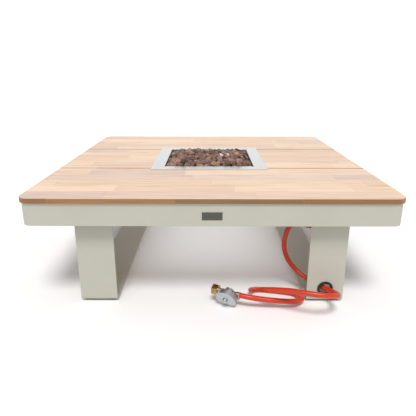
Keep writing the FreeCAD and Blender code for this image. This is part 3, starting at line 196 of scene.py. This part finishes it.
def acacia():
    """Acacia, glued up from finger-jointed staves, planed, sanded and oiled: pale peach staves beside
    greyer ones, fine straight grain along them, and a darker brown on every face that does not face up,
    partly oil sunk into the edges and partly painted shade."""
    made, tree, shader = start(
        "oiled_acacia", {"IOR": 1.5, "Roughness": 0.5, "Specular IOR Level": 0.35}
    )
    stave_wide = 0.0600
    first_edge = 0.4970
    here = add(tree, "ShaderNodeTexCoord").outputs["Object"]
    apart = add(tree, "ShaderNodeSeparateXYZ", {}, {"Vector": here})
    across = add(
        tree, "ShaderNodeMath", {"operation": "ADD", 1: first_edge}, {0: apart.outputs["Y"]}
    )
    staves = add(
        tree, "ShaderNodeMath", {"operation": "DIVIDE", 1: stave_wide}, {0: across.outputs[0]}
    )
    row = add(tree, "ShaderNodeMath", {"operation": "FLOOR"}, {0: staves.outputs[0]}).outputs[0]
    chance = add(
        tree, "ShaderNodeTexWhiteNoise", {"noise_dimensions": "1D"}, {"W": row}
    )
    rates = add(tree, "ShaderNodeSeparateColor", {}, {"Color": chance.outputs["Color"]})
    stave_long = span(tree, rates.outputs["Red"], 0, 1, 0.30, 0.46)
    begins = span(tree, rates.outputs["Green"], 0, 1, 0.60, 1.10)
    along = add(
        tree, "ShaderNodeMath", {"operation": "ADD"}, {0: apart.outputs["X"], 1: begins}
    )
    lengths = add(
        tree, "ShaderNodeMath", {"operation": "DIVIDE"}, {0: along.outputs[0], 1: stave_long}
    )
    column = add(
        tree, "ShaderNodeMath", {"operation": "FLOOR"}, {0: lengths.outputs[0]}
    ).outputs[0]
    stave = add(tree, "ShaderNodeCombineXYZ", {"Z": 7.3}, {"X": row, "Y": column})
    pick = add(
        tree, "ShaderNodeTexWhiteNoise", {"noise_dimensions": "3D"},
        {"Vector": stave.outputs["Vector"]},
    )
    moved = add(
        tree, "ShaderNodeVectorMath", {"operation": "MULTIPLY_ADD", 1: (3.1, 0.0, 2.3)},
        {0: pick.outputs["Color"], 2: here},
    ).outputs["Vector"]
    cathedral = add(
        tree, "ShaderNodeTexNoise", {"Scale": 1.0, "Detail": 3.0, "Roughness": 0.6},
        {"Vector": add(
            tree, "ShaderNodeMapping", {"Scale": (3.5, 90.0, 90.0)}, {"Vector": moved}
        ).outputs["Vector"]},
    )
    fine = add(
        tree, "ShaderNodeTexNoise", {"Scale": 1.0, "Detail": 4.0, "Roughness": 0.65},
        {"Vector": add(
            tree, "ShaderNodeMapping", {"Scale": (9.0, 420.0, 420.0)}, {"Vector": moved}
        ).outputs["Vector"]},
    )
    tone = ramp(
        tree, pick.outputs["Value"],
        [(0.0, "#F0D6BC"), (0.22, "#E2C7B2"), (0.42, "#EBCFB2"), (0.62, "#D8C1B4"),
         (0.8, "#F3DAC0"), (1.0, "#E3C5A8")],
    )
    streak = ramp(
        tree, cathedral.outputs["Fac"],
        [(0.3, "#B89C88"), (0.5, "#FFFFFF"), (0.72, "#E9D4C4")],
    )
    streaked = add(
        tree, "ShaderNodeMix", {"data_type": "RGBA", "blend_type": "MULTIPLY", 0: 0.42},
        {6: tone, 7: streak},
    ).outputs[2]
    lines = ramp(tree, fine.outputs["Fac"], [(0.32, "#CDB4A0"), (0.56, "#FFFFFF")])
    top = add(
        tree, "ShaderNodeMix", {"data_type": "RGBA", "blend_type": "MULTIPLY", 0: 0.35},
        {6: streaked, 7: lines},
    ).outputs[2]
    # Faces that do not face up take a darker brown: partly oil sunk into the edges, partly painted shade
    # from the light above.
    edge_tone_with_painted_shade = ramp(
        tree, pick.outputs["Value"],
        [(0.0, "#A9764A"), (0.45, "#9C6C40"), (0.75, "#86694A"), (1.0, "#A5784B")],
    )
    edge_with_painted_shade = add(
        tree, "ShaderNodeMix", {"data_type": "RGBA", "blend_type": "MULTIPLY", 0: 0.5},
        {6: edge_tone_with_painted_shade, 7: lines},
    ).outputs[2]
    facing = add(
        tree, "ShaderNodeSeparateXYZ", {},
        {"Vector": add(tree, "ShaderNodeTexCoord").outputs["Normal"]},
    ).outputs["Z"]
    upward = span(tree, facing, 0.35, 0.85)
    wood = add(
        tree, "ShaderNodeMix", {"data_type": "RGBA"}, {0: upward, 6: edge_with_painted_shade, 7: top}
    ).outputs[2]
    part_across = add(tree, "ShaderNodeMath", {"operation": "FRACT"}, {0: staves.outputs[0]})
    part_along = add(tree, "ShaderNodeMath", {"operation": "FRACT"}, {0: lengths.outputs[0]})
    seam_across = add(
        tree, "ShaderNodeMath", {"operation": "LESS_THAN", 1: 0.014}, {0: part_across.outputs[0]}
    )
    seam_along = add(
        tree, "ShaderNodeMath", {"operation": "LESS_THAN", 1: 0.003}, {0: part_along.outputs[0]}
    )
    seam = add(
        tree, "ShaderNodeMath", {"operation": "MAXIMUM"},
        {0: seam_across.outputs[0], 1: seam_along.outputs[0]},
    ).outputs[0]
    # A glue line is a tenth of a millimetre; it is drawn 0.8 mm wide so that it shows.
    faint = add(tree, "ShaderNodeMath", {"operation": "MULTIPLY", 1: 0.4}, {0: seam})
    glued = add(
        tree, "ShaderNodeMix", {"data_type": "RGBA", 7: linear("#B48D68")},
        {0: faint.outputs[0], 6: wood},
    ).outputs[2]
    # The boards turn red brown beside the two open seams, fully within a millimetre of each board's edge
    # and fading out by 4 mm.
    from_middle = add(tree, "ShaderNodeMath", {"operation": "ABSOLUTE"}, {0: apart.outputs["Y"]})
    board_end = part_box("middle_board_left")[1][1]
    to_seam = add(
        tree, "ShaderNodeMath", {"operation": "SUBTRACT", 1: board_end + OPEN_SEAM / 2},
        {0: from_middle.outputs[0]},
    )
    beside = add(tree, "ShaderNodeMath", {"operation": "ABSOLUTE"}, {0: to_seam.outputs[0]})
    seam_banded = add(
        tree, "ShaderNodeMix", {"data_type": "RGBA", 6: linear("#9A5F42")},
        {0: span(tree, beside.outputs[0], OPEN_SEAM / 2 + 0.001, OPEN_SEAM / 2 + 0.004),
         7: glued},
    ).outputs[2]
    tree.links.new(seam_banded, shader.inputs["Base Color"])
    gloss = span(tree, fine.outputs["Fac"], 0.3, 0.7, 0.56, 0.42)
    tree.links.new(gloss, shader.inputs["Roughness"])
    grain = bump(tree, shader, fine.outputs["Fac"], 0.00012, 0.5)
    sunk = add(tree, "ShaderNodeMath", {"operation": "SUBTRACT", 0: 1.0}, {1: seam})
    bump(tree, shader, sunk.outputs[0], 0.0002, 0.4, grain)
    return made


def powder_coat():
    """Aluminium with a fine-textured polyester powder coat, sprayed and baked: a warm light greige
    with a low sheen, a faint orange peel and a very slight drift in tone."""
    made, tree, shader = start(
        "powder_coated_aluminium", {"IOR": 1.5, "Roughness": 0.5, "Specular IOR Level": 0.4}
    )
    here = place_of(tree)
    # Orange peel is 1 to 2 mm across; it is drawn at 2.5 mm so that it shows.
    peel = add(
        tree, "ShaderNodeTexNoise", {"Scale": per_metre(2.5), "Detail": 2.0}, {"Vector": here}
    )
    drift = add(
        tree, "ShaderNodeTexNoise", {"Scale": per_metre(180), "Detail": 3.0}, {"Vector": here}
    )
    colour = ramp(tree, drift.outputs["Fac"], [(0.3, "#B6B4A7"), (0.7, "#BAB8AC")])
    tree.links.new(colour, shader.inputs["Base Color"])
    tree.links.new(
        span(tree, peel.outputs["Fac"], 0.3, 0.7, 0.44, 0.56), shader.inputs["Roughness"]
    )
    bump(tree, shader, peel.outputs["Fac"], 0.00006, 0.35)
    return made


def painted_steel():
    """Mild steel with a thin black dip coat: near black, half matt, with a few paler rubbed spots."""
    made, tree, shader = start(
        "black_painted_steel", {"IOR": 1.5, "Roughness": 0.45}
    )
    here = place_of(tree)
    rubbed = add(
        tree, "ShaderNodeTexNoise", {"Scale": per_metre(45), "Detail": 6.0, "Roughness": 0.7},
        {"Vector": here},
    )
    colour = ramp(
        tree, rubbed.outputs["Fac"], [(0.35, "#1B1B1C"), (0.62, "#262627"), (0.8, "#3A3A3A")]
    )
    tree.links.new(colour, shader.inputs["Base Color"])
    tree.links.new(
        span(tree, rubbed.outputs["Fac"], 0.3, 0.8, 0.38, 0.6), shader.inputs["Roughness"]
    )
    bump(tree, shader, rubbed.outputs["Fac"], 0.0002, 0.2)
    return made


def metal(name, stops, patch_mm, rough, stretch=(1, 1, 1), relief=0.00005, strength=0.3):
    """A bare metal: its colours by patch, the patch size, and its roughness from shiny to dull."""
    made, tree, shader = start(name, {"Metallic": 1.0})
    here = place_of(tree, stretch)
    patch = add(
        tree, "ShaderNodeTexNoise", {"Scale": per_metre(patch_mm), "Detail": 5.0, "Roughness": 0.6},
        {"Vector": here},
    )
    tree.links.new(ramp(tree, patch.outputs["Fac"], stops), shader.inputs["Base Color"])
    tree.links.new(
        span(tree, patch.outputs["Fac"], 0.3, 0.7, *rough), shader.inputs["Roughness"]
    )
    bump(tree, shader, patch.outputs["Fac"], relief, strength)
    return made


def stainless():
    """Stainless sheet, brushed along its length: a cool pale grey with fine straight lines that
    spread its shine."""
    # Brush lines are 0.1 mm apart; they are drawn 1 mm apart so that they show.
    return metal(
        "brushed_stainless", [(0.3, "#C9CCCD"), (0.55, "#DADDDD"), (0.75, "#E4E6E6")],
        1.0, (0.26, 0.4), (0.02, 1, 1), 0.00003, 0.25,
    )


def sooted_stainless():
    """Stainless that sits in the flames: bright metal left between brown soot and straw heat tints."""
    return metal(
        "sooted_stainless", [(0.36, "#4E453C"), (0.44, "#C9C0B2"), (0.5, "#F2F2F0")],
        9.0, (0.3, 0.6),
    )


def zinc():
    """Steel with a bright zinc plate: silver with faint cool and yellowish clouds."""
    return metal(
        "zinc_plated_steel", [(0.3, "#B9BCC0"), (0.5, "#CBCDCC"), (0.72, "#C9C6B6")],
        12.0, (0.24, 0.42),
    )


def die_cast():
    """Zinc alloy, die cast and tumbled: light silver, softly rough, with small bright and dull specks."""
    return metal(
        "die_cast_zinc_alloy", [(0.3, "#A9ADB1"), (0.55, "#C4C8CB"), (0.75, "#D8DBDD")],
        1.6, (0.28, 0.46), (1, 1, 1), 0.00012, 0.4,
    )


def brass():
    """Turned brass with a first brown tarnish: warm yellow brown, brighter where it is handled."""
    return metal(
        "turned_brass", [(0.3, "#8E6F42"), (0.5, "#B8945B"), (0.72, "#CFAF76")],
        6.0, (0.24, 0.44),
    )


def copper():
    """Drawn copper tube: orange brown with darker drawn streaks."""
    return metal(
        "drawn_copper", [(0.3, "#8F5237"), (0.55, "#B87350"), (0.75, "#CB8A66")],
        9.0, (0.25, 0.4),
    )


def dark_plate():
    """A small stainless plate, etched and filled dark: graphite grey with fine brush lines."""
    return metal(
        "etched_dark_steel", [(0.3, "#55554F"), (0.55, "#63635B"), (0.8, "#737268")],
        0.8, (0.34, 0.5), (0.04, 1, 1), 0.00003, 0.3,
    )


def rubber(name, dark, light, grain_mm, rough, relief):
    """Moulded rubber: its two close tones, the size of its grain, and how rough it is."""
    made, tree, shader = start(name, {"IOR": 1.52, "Specular IOR Level": 0.4})
    grain = add(
        tree, "ShaderNodeTexNoise", {"Scale": per_metre(grain_mm), "Detail": 3.0},
        {"Vector": place_of(tree)},
    )
    tree.links.new(
        ramp(tree, grain.outputs["Fac"], [(0.3, dark), (0.7, light)]), shader.inputs["Base Color"]
    )
    tree.links.new(
        span(tree, grain.outputs["Fac"], 0.3, 0.7, *rough), shader.inputs["Roughness"]
    )
    bump(tree, shader, grain.outputs["Fac"], relief, 0.4)
    return made


def ceramic():
    """Fired steatite: off white, fine grained, with a soft satin glaze."""
    return rubber("fired_ceramic", "#E4DFD2", "#F2EEE3", 1.5, (0.28, 0.4), 0.00002)


def lava_stone():
    """Crushed lava, tumbled: rust brown, grey brown and a few tan stones, each full of small pores,
    mottled, with painted shade darkening the pores and the low parts of the relief."""
    made, tree, shader = start("tumbled_lava", {"IOR": 1.45, "Specular IOR Level": 0.25})
    here = place_of(tree)
    own = add(tree, "ShaderNodeAttribute", {"attribute_name": "stone_tone"})
    tone = ramp(
        tree, own.outputs["Fac"],
        [(0.0, "#4A403B"), (0.2, "#8F7468"), (0.45, "#B08E80"), (0.6, "#7A6862"),
         (0.88, "#C09E92"), (0.95, "#B8968A"), (1.0, "#DDB084")],
    )
    mottle = add(
        tree, "ShaderNodeTexNoise", {"Scale": per_metre(9), "Detail": 6.0, "Roughness": 0.7},
        {"Vector": here},
    )
    pores = add(
        tree, "ShaderNodeTexVoronoi", {"Scale": per_metre(3.2), "Randomness": 1.0},
        {"Vector": here},
    )
    pits = add(
        tree, "ShaderNodeTexVoronoi", {"Scale": per_metre(1.4), "Randomness": 1.0},
        {"Vector": here},
    )
    # The mottle also drives the deepest relief, so its darker low parts are painted shade as well as
    # mottling.
    mottled_with_painted_shade = add(
        tree, "ShaderNodeMix", {"data_type": "RGBA", "blend_type": "MULTIPLY", 0: 0.75},
        {6: tone, 7: ramp(tree, mottle.outputs["Fac"],
                          [(0.3, "#857A75"), (0.48, "#E4DCD6"), (0.68, "#FFFFFF")])},
    ).outputs[2]
    # The pores are painted darker towards their hollows: painted shade.
    hollow = span(tree, pores.outputs["Distance"], 0.12, 0.42)
    pores_with_painted_shade = add(
        tree, "ShaderNodeMix", {"data_type": "RGBA", "blend_type": "MULTIPLY", 0: 0.7},
        {6: mottled_with_painted_shade, 7: ramp(tree, hollow, [(0.0, "#5A4B45"), (1.0, "#FFFFFF")])},
    ).outputs[2]
    tree.links.new(pores_with_painted_shade, shader.inputs["Base Color"])
    shader.inputs["Roughness"].default_value = 0.88
    first = bump(tree, shader, hollow, 0.0016, 0.9)
    second = bump(
        tree, shader, span(tree, pits.outputs["Distance"], 0.1, 0.5), 0.0007, 0.7, first
    )
    bump(tree, shader, mottle.outputs["Fac"], 0.002, 0.6, second)
    return made


def hose_rubber():
    """Orange gas hose, extruded rubber wiped smooth: a saturated orange red with a satin shine,
    slightly duller and darker where it has been dragged."""
    made, tree, shader = start(
        "orange_hose_rubber",
        {"IOR": 1.52, "Specular IOR Level": 0.45, "Coat Weight": 0.15, "Coat Roughness": 0.3},
    )
    here = place_of(tree)
    drag = add(
        tree, "ShaderNodeTexNoise", {"Scale": per_metre(26), "Detail": 5.0, "Roughness": 0.65},
        {"Vector": here},
    )
    weave = add(
        tree, "ShaderNodeTexNoise", {"Scale": per_metre(1.1), "Detail": 2.0}, {"Vector": here}
    )
    colour = ramp(
        tree, drag.outputs["Fac"], [(0.28, "#B52A09"), (0.5, "#C5330C"), (0.75, "#D03E12")]
    )
    tree.links.new(colour, shader.inputs["Base Color"])
    tree.links.new(
        span(tree, drag.outputs["Fac"], 0.3, 0.7, 0.46, 0.34), shader.inputs["Roughness"]
    )
    bump(tree, shader, weave.outputs["Fac"], 0.00008, 0.3)
    return made


def studio_paper():
    """Matt white paper."""
    made, tree, shader = start("white_paper", {"Roughness": 0.9, "Specular IOR Level": 0.1})
    shader.inputs["Base Color"].default_value = linear("#FAFAFA")
    return made


FINISHES = {
    "hardwood": acacia(),
    "powder_coat": powder_coat(),
    "black_steel": painted_steel(),
    "zinc_steel": zinc(),
    "stainless": stainless(),
    "name_plate": dark_plate(),
    "black_rubber": rubber("black_rubber", "#141414", "#202020", 2.0, (0.5, 0.68), 0.0001),
    "white_ceramic": ceramic(),
    "lava": lava_stone(),
    "black_plastic": rubber("moulded_black_nylon", "#17181A", "#1F2022", 0.8, (0.36, 0.5), 0.00004),
    "brass": brass(),
    "die_cast": die_cast(),
    "orange_hose": hose_rubber(),
    "copper": copper(),
}


OWN_FINISHES = {"pilot_guard": sooted_stainless()}


def dress(piece, slot):
    """Gives a piece its finish, its own or the slot's."""
    piece.data.materials.clear()
    piece.data.materials.append(OWN_FINISHES.get(piece.name, FINISHES[slot]))


for row in frame["record"]["subparts"]:
    dress(NODES[row["node"]], row["material_slot"])


# ---------------------------------------------------------------- the hose's finish and its body

dress(hose, "orange_hose")
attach(hose, "table")
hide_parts("gas_hose")


# ---------------------------------------------------------------- lava stones

STONES = 420
SMALLEST_STONE = 0.0070
LARGEST_STONE = 0.0130
EDGE_REACH = 0.045
EDGE_SLOPE = 0.5
SEED = 11


def settled(low, high, guard, rng):
    """Places and sizes of stones shaken down into the tray, clear of the pilot guard."""
    size = rng.uniform(SMALLEST_STONE, LARGEST_STONE, STONES)
    place = rng.uniform(low, high, (STONES, 3))
    for step in range(110):
        place[:, 2] += 0.0003 if step < 70 else -0.0001
        apart = place[:, None, :] - place[None, :, :]
        gap = np.sqrt((apart**2).sum(2)) + np.eye(STONES)
        overlap = np.clip(size[:, None] + size[None, :] - gap, 0, None)
        np.fill_diagonal(overlap, 0)
        place += (apart / gap[:, :, None] * overlap[:, :, None]).sum(1) * 0.22
        nearest = np.clip(place, guard[0], guard[1])
        away = place - nearest
        away[:, 2] = 0
        far = np.sqrt((away**2).sum(1)) + 1e-6
        push = np.clip(size - far, 0, None)
        place += away / far[:, None] * push[:, None]
        place[:, :2] = np.clip(place[:, :2], low[:2] + size[:, None], high[:2] - size[:, None])
        to_wall = np.minimum(place[:, :2] - low[:2], high[:2] - place[:, :2]).min(1)
        ceiling = high[2] - np.clip(EDGE_REACH - to_wall, 0, None) * EDGE_SLOPE - size
        place[:, 2] = np.minimum(np.maximum(place[:, 2], low[2] + size * 0.8), ceiling)
    return place, size


def lava_stones():
    """Every stone of the bed as one mesh: lumpy, chipped and squashed, no two alike."""
    low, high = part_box("lava_rock")
    low, high = np.array(low), np.array(high)
    guard = [np.array(corner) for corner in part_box("pilot_guard")]
    rng = np.random.default_rng(SEED)
    place, size = settled(low, high, guard, rng)
    mesh = bmesh.new()
    tone = mesh.verts.layers.float.new("stone_tone")
    for middle, across in zip(place, size):
        seen = middle[2] > low[2] + 0.022
        ball = bmesh.ops.create_icosphere(mesh, subdivisions=3 if seen else 1, radius=1.0)
        turn = Matrix.Rotation(rng.uniform(0, 6.28), 3, Vector(rng.normal(size=3)).normalized())
        squash = Vector((rng.uniform(0.95, 1.25), rng.uniform(0.8, 1.1), rng.uniform(0.72, 1.0)))
        seat = Vector(rng.uniform(-50, 50, 3))
        own_tone = rng.uniform(0, 1)
        for vert in ball["verts"]:
            out = vert.co.normalized()
            lump = noise.noise(out * 1.1 + seat)
            chip = abs(noise.noise(out * 2.3 + seat * 1.7))
            rough = noise.fractal(out * 4.5 + seat, 0.7, 2.2, 4)
            reach = 1.02 + 0.30 * lump - 0.34 * chip + 0.11 * rough
            shaped = turn @ Vector((out[i] * squash[i] * reach for i in range(3)))
            at = middle + np.array(shaped) * across * 1.12
            at = np.minimum(np.maximum(at, low), high)
            vert.co = Vector(at)
            vert[tone] = own_tone
    for face in mesh.faces:
        face.smooth = True
    data = bpy.data.meshes.new("lava_stones")
    mesh.to_mesh(data)
    mesh.free()
    bed = bpy.data.objects.new("lava_stones", data)
    bpy.context.scene.collection.objects.link(bed)
    return bed


stones = lava_stones()
dress(stones, "lava")
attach(stones, "table")
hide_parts("lava_rock")


# ---------------------------------------------------------------- floor and light

def sweep():
    """A floor that curves up into a backdrop, as one sheet of paper."""
    front, back, radius, height, half_width = -5.0, 4.0, 1.6, 4.0, 7.0
    line = [(front, 0.0), (0.0, 0.0)]
    for step in range(13):
        angle = math.pi / 2 * step / 12
        line.append((back + radius * math.sin(angle), radius * (1 - math.cos(angle))))
    line.append((back + radius, height))
    sheet = bmesh.new()
    left = [sheet.verts.new((-half_width, y, z)) for y, z in line]
    right = [sheet.verts.new((half_width, y, z)) for y, z in line]
    for i in range(len(line) - 1):
        face = sheet.faces.new((left[i], right[i], right[i + 1], left[i + 1]))
        face.smooth = True
    data = bpy.data.meshes.new("paper_sweep")
    sheet.to_mesh(data)
    sheet.free()
    made = bpy.data.objects.new("paper_sweep", data)
    made.data.materials.append(studio_paper())
    bpy.context.scene.collection.objects.link(made)
    return made


sweep()


def lamp(name, kind, place, aim, settings):
    """A light at a place, turned to its aim."""
    made = bpy.data.objects.new(name, bpy.data.lights.new(name, kind))
    for key, value in settings.items():
        setattr(made.data, key, value)
    made.location = place
    made.rotation_mode = "QUATERNION"
    made.rotation_quaternion = (Vector(aim) - Vector(place)).to_track_quat("-Z", "Y")
    bpy.context.scene.collection.objects.link(made)


lamp(
    "front_softbox", "SUN", (0.05, -1.75, 3.3), (0.0, 0.0, 0.3),
    {"energy": 2.05, "angle": math.radians(19), "color": (1.0, 0.995, 0.985)},
)
# A flat light panel between the legs lifts the shade under the table.
lamp(
    "shade_panel", "AREA", (0.0, 0.06, 0.135), (0.0, 0.06, 0.0),
    {"energy": 0.60, "shape": "RECTANGLE", "size": 0.50, "size_y": 0.72},
)
bpy.data.objects["shade_panel"].visible_camera = False

world = bpy.data.worlds.new("white_studio")
world.use_nodes = True
world.node_tree.nodes["Background"].inputs["Color"].default_value = (1, 1, 1, 1)
world.node_tree.nodes["Background"].inputs["Strength"].default_value = 0.6
bpy.context.scene.world = world
bpy.context.scene.view_settings.view_transform = "Standard"
